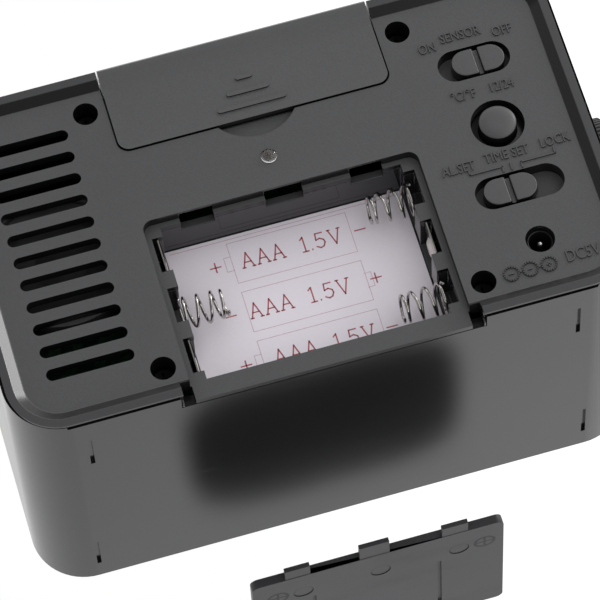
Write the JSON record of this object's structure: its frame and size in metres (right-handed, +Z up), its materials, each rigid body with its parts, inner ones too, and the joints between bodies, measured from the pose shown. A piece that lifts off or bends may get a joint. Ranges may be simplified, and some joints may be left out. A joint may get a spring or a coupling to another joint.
{
  "type": "travel alarm clock",
  "caption": "Upright digital travel alarm clock with a battery bay, speaker slots, slide switches, a button, a rear hatch, a top bar, a side dial and a loose battery cover.",
  "frame": {"origin": "middle of the flat base of the housing, on the surface the clock stands on", "axes": "+Z up, the display faces -Y, the rear cover with its controls faces +Y, +X is on the right of someone facing the display"},
  "size_m": [0.126, 0.1288, 0.0719],
  "materials": {
    "case_shell": "smooth, half gloss",
    "rear_shell": "fine matt texture",
    "display_window": "polished dark tint",
    "window_mask": "printed black",
    "display_glass": "polished",
    "light_guide": "clear, frosted on the back",
    "display_holder": "moulded white",
    "soft_connector": "soft",
    "circuit_board": "solder mask",
    "black_resin": "poured resin",
    "speaker_frame": "pressed steel, dark",
    "speaker_cone": "paper-like film",
    "magnet": "nickel plated",
    "battery_tray": "moulded",
    "paper_label": "printed paper",
    "nickel_contact": "nickel plated spring steel",
    "dark_screw": "black zinc",
    "bright_screw": "zinc plated",
    "switch_metal": "pressed steel can",
    "switch_body": "moulded",
    "socket_plastic": "moulded",
    "bright_pin": "plated",
    "clear_lens": "clear moulded lens",
    "sensor_chip": "moulded",
    "control_plastic": "fine matt texture",
    "snooze_plastic": "smooth, half gloss",
    "dial_rubber": "knurled grip",
    "battery_cover": "smooth inside face"
  },
  "bodies": {
    "clock": {"front_housing": "case_shell", "display_window": "display_window", "window_mask": "window_mask", "display_glass": "display_glass", "light_guide": "light_guide", "display_holder": "display_holder", "display_connector": "soft_connector", "main_board": "circuit_board", "clock_chip": "black_resin", "rear_cover": "rear_shell", "speaker_frame": "speaker_frame", "speaker_cone": "speaker_cone", "speaker_magnet": "magnet", "battery_tray": "battery_tray", "battery_label": "paper_label", "spring_top": "nickel_contact", "spring_middle": "nickel_contact", "spring_bottom": "nickel_contact", "contact_top": "nickel_contact", "contact_middle": "nickel_contact", "contact_bottom": "nickel_contact", "case_screws": "dark_screw", "board_screws": "bright_screw", "control_board": "circuit_board", "light_switch": "switch_metal", "set_switch": "switch_metal", "mode_switch": "switch_body", "power_socket": "socket_plastic", "socket_pin": "bright_pin", "sensor_lens": "clear_lens", "light_sensor": "sensor_chip", "key_board": "circuit_board", "snooze_switch": "switch_body", "dial_encoder": "switch_body", "hinge_pin": "bright_pin"},
    "rear_hatch": {"rear_hatch": "rear_shell"},
    "light_slider": {"light_slider": "control_plastic"},
    "set_slider": {"set_slider": "control_plastic"},
    "mode_button": {"mode_button": "control_plastic"},
    "snooze_bar": {"snooze_bar": "snooze_plastic"},
    "side_dial": {"side_dial": "dial_rubber"},
    "battery_cover": {"battery_cover": "battery_cover"}
  },
  "joints": [
    {"name": "hatch_hinge", "type": "hinge", "parent": "clock", "child": "rear_hatch", "pos_m": [0, 0.024, 0.0684], "axis": [1, 0, 0], "range_deg": [0, 95]},
    {"name": "light_slide", "type": "slide", "parent": "clock", "child": "light_slider", "axis": [1, 0, 0], "range_m": [0, 0.002]},
    {"name": "set_slide", "type": "slide", "parent": "clock", "child": "set_slider", "axis": [-1, 0, 0], "range_m": [0, 0.0044]},
    {"name": "mode_press", "type": "slide", "parent": "clock", "child": "mode_button", "axis": [0, -1, 0], "range_m": [0, 0.0009], "stiffness_N_per_m": 300, "springref_m": -0.002},
    {"name": "snooze_press", "type": "slide", "parent": "clock", "child": "snooze_bar", "axis": [0, 0, -1], "range_m": [0, 0.001], "stiffness_N_per_m": 400, "springref_m": -0.002},
    {"name": "dial_turn", "type": "hinge", "parent": "clock", "child": "side_dial", "pos_m": [-0.0595, 0, 0.0387], "axis": [1, 0, 0], "continuous": true},
    {"name": "cover_lift", "type": "slide", "parent": "clock", "child": "battery_cover", "axis": [0, 0, 1], "range_m": [0, 0.06]}
  ]
}
